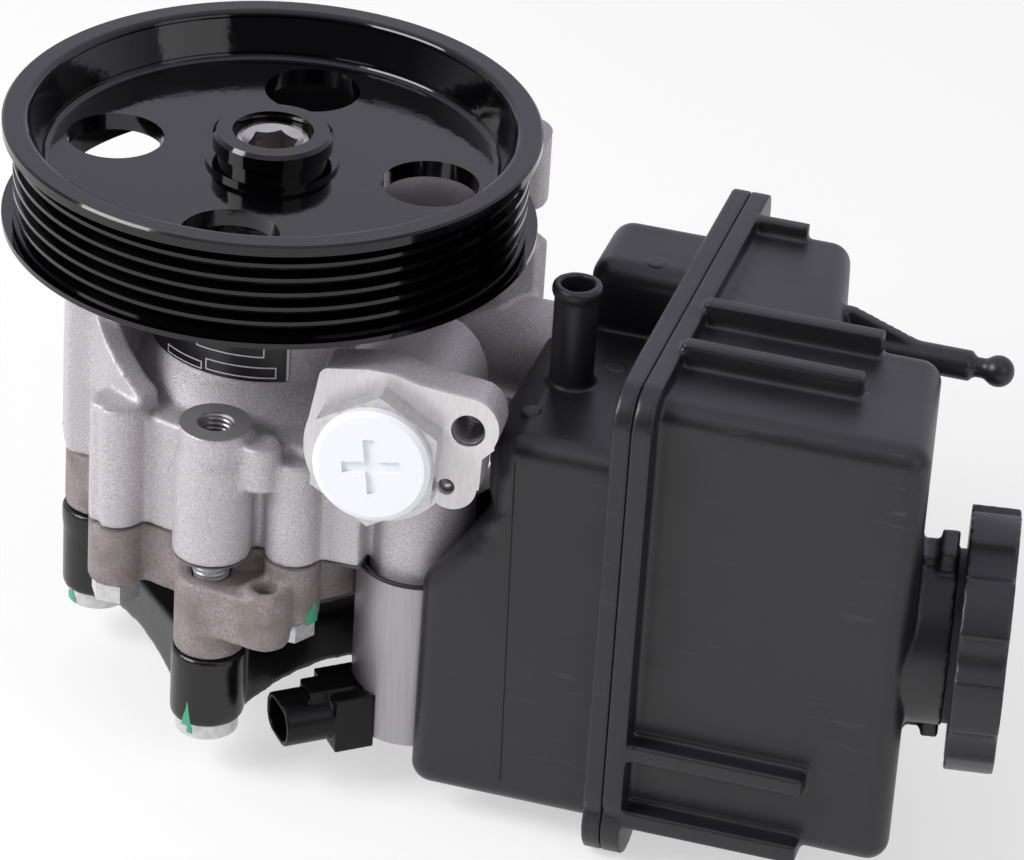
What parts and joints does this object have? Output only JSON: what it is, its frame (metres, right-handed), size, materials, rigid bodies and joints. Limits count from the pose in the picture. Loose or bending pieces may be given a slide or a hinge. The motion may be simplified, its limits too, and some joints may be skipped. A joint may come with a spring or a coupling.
{
  "type": "power steering pump",
  "caption": "Belt-driven vane pump for power steering, with a ribbed pulley, a control solenoid, a rear bracket and a welded plastic fluid reservoir with a twist-off cap.",
  "frame": {"origin": "on the shaft axis in the middle plane of the belt grooves", "axes": "+Z along the shaft towards the pulley's open side, +X towards the reservoir, +Y towards the mounting ears"},
  "size_m": [0.2456, 0.1297, 0.1462],
  "materials": {
    "black_paint": "gloss black paint on spun steel",
    "black_steel": "gloss black paint on turned steel",
    "bright_steel": "ground steel",
    "tool_steel": "ground hardened steel",
    "spring_steel": "oiled spring steel",
    "seal_rubber": "black nitrile rubber",
    "bronze": "plain bearing bronze",
    "cast_aluminium": "grainy die-cast skin",
    "plate_black": "satin black label",
    "cast_iron": "oily bare casting",
    "zinc_steel": "zinc plate",
    "bracket_paint": "semi-gloss black paint",
    "white_plastic": "white moulded plastic",
    "sleeve_steel": "dull plated steel can",
    "coil_resin": "resin over copper wire",
    "connector_plastic": "black moulded plastic",
    "pin_brass": "tinned brass",
    "tank_plastic": "satin charcoal moulded plastic",
    "natural_plastic": "natural nylon",
    "cap_plastic": "satin charcoal moulded plastic"
  },
  "bodies": {
    "pump": {"bearing_outer_race": "bright_steel", "bearing_circlip": "spring_steel", "shaft_seal": "seal_rubber", "shaft_bush": "bronze", "front_plate": "tool_steel", "cam_ring": "tool_steel", "pressure_plate": "tool_steel", "dowel_pins": "bright_steel", "cover_seal": "seal_rubber", "pump_housing": "cast_aluminium", "rating_plate": "plate_black", "rear_cover": "cast_iron", "cover_bolts": "zinc_steel", "support_bracket": "bracket_paint", "bracket_bolts": "zinc_steel", "outlet_fitting": "zinc_steel", "dust_plug": "white_plastic", "valve_spring": "spring_steel", "solenoid_sleeve": "sleeve_steel", "solenoid_coil": "coil_resin", "solenoid_seal": "seal_rubber", "solenoid_connector": "connector_plastic", "connector_pins": "pin_brass", "reservoir_left": "tank_plastic", "reservoir_right": "tank_plastic", "filter_screen": "natural_plastic", "suction_seal": "seal_rubber", "reservoir_screw": "zinc_steel"},
    "rotating_group": {"pulley": "black_paint", "pulley_hub": "black_steel", "drive_shaft": "bright_steel", "rotor": "tool_steel", "rotor_ring": "spring_steel", "bearing_inner_race": "bright_steel", "bearing_balls": "bright_steel"},
    "vane_1": {"vane_1": "tool_steel"},
    "vane_2": {"vane_2": "tool_steel"},
    "vane_3": {"vane_3": "tool_steel"},
    "vane_4": {"vane_4": "tool_steel"},
    "vane_5": {"vane_5": "tool_steel"},
    "vane_6": {"vane_6": "tool_steel"},
    "vane_7": {"vane_7": "tool_steel"},
    "vane_8": {"vane_8": "tool_steel"},
    "vane_9": {"vane_9": "tool_steel"},
    "vane_10": {"vane_10": "tool_steel"},
    "cap_lifter": {"cap_gasket": "seal_rubber"},
    "cap": {"filler_cap": "cap_plastic", "dipstick": "natural_plastic"},
    "spool": {"valve_spool": "tool_steel"},
    "plunger": {"solenoid_plunger": "bright_steel"}
  },
  "joints": [
    {"name": "pulley_spin", "type": "hinge", "parent": "pump", "child": "rotating_group", "pos_m": [0, 0, 0], "axis": [0, 0, 1], "continuous": true},
    {"name": "vane_1_slide", "type": "slide", "parent": "rotating_group", "child": "vane_1", "axis": [0.9511, 0.309, 0], "range_m": [-0.0018, 0]},
    {"name": "vane_2_slide", "type": "slide", "parent": "rotating_group", "child": "vane_2", "axis": [0.5878, 0.809, 0], "range_m": [-0.0018, 0]},
    {"name": "vane_3_slide", "type": "slide", "parent": "rotating_group", "child": "vane_3", "axis": [0, 1, 0], "range_m": [-0.0018, 0]},
    {"name": "vane_4_slide", "type": "slide", "parent": "rotating_group", "child": "vane_4", "axis": [-0.5878, 0.809, 0], "range_m": [-0.0018, 0]},
    {"name": "vane_5_slide", "type": "slide", "parent": "rotating_group", "child": "vane_5", "axis": [-0.9511, 0.309, 0], "range_m": [-0.0018, 0]},
    {"name": "vane_6_slide", "type": "slide", "parent": "rotating_group", "child": "vane_6", "axis": [-0.9511, -0.309, 0], "range_m": [-0.0018, 0]},
    {"name": "vane_7_slide", "type": "slide", "parent": "rotating_group", "child": "vane_7", "axis": [-0.5878, -0.809, 0], "range_m": [-0.0018, 0]},
    {"name": "vane_8_slide", "type": "slide", "parent": "rotating_group", "child": "vane_8", "axis": [0, -1, 0], "range_m": [-0.0018, 0]},
    {"name": "vane_9_slide", "type": "slide", "parent": "rotating_group", "child": "vane_9", "axis": [0.5878, -0.809, 0], "range_m": [-0.0018, 0]},
    {"name": "vane_10_slide", "type": "slide", "parent": "rotating_group", "child": "vane_10", "axis": [0.9511, -0.309, 0], "range_m": [-0.0018, 0]},
    {"name": "cap_lift", "type": "slide", "parent": "pump", "child": "cap_lifter", "axis": [0.9877, 0.1564, 0], "range_m": [0, 0.003]},
    {"name": "cap_turn", "type": "hinge", "parent": "cap_lifter", "child": "cap", "pos_m": [0.15902, -0.022, -0.07238], "axis": [0.9877, 0.1564, 0], "range_deg": [0, 90]},
    {"name": "spool_slide", "type": "slide", "parent": "pump", "child": "spool", "axis": [-0.0868, 0.9924, -0.0872], "range_m": [0, 0.004], "stiffness_N_per_m": 3000, "deforming": ["valve_spring"]},
    {"name": "plunger_slide", "type": "slide", "parent": "pump", "child": "plunger", "axis": [0, 0, 1], "range_m": [0, 0.0015]}
  ],
  "couplings": [
    {"joint": "cap_lift", "follows": "cap_turn", "m_per_rad": 0.0019099}
  ]
}
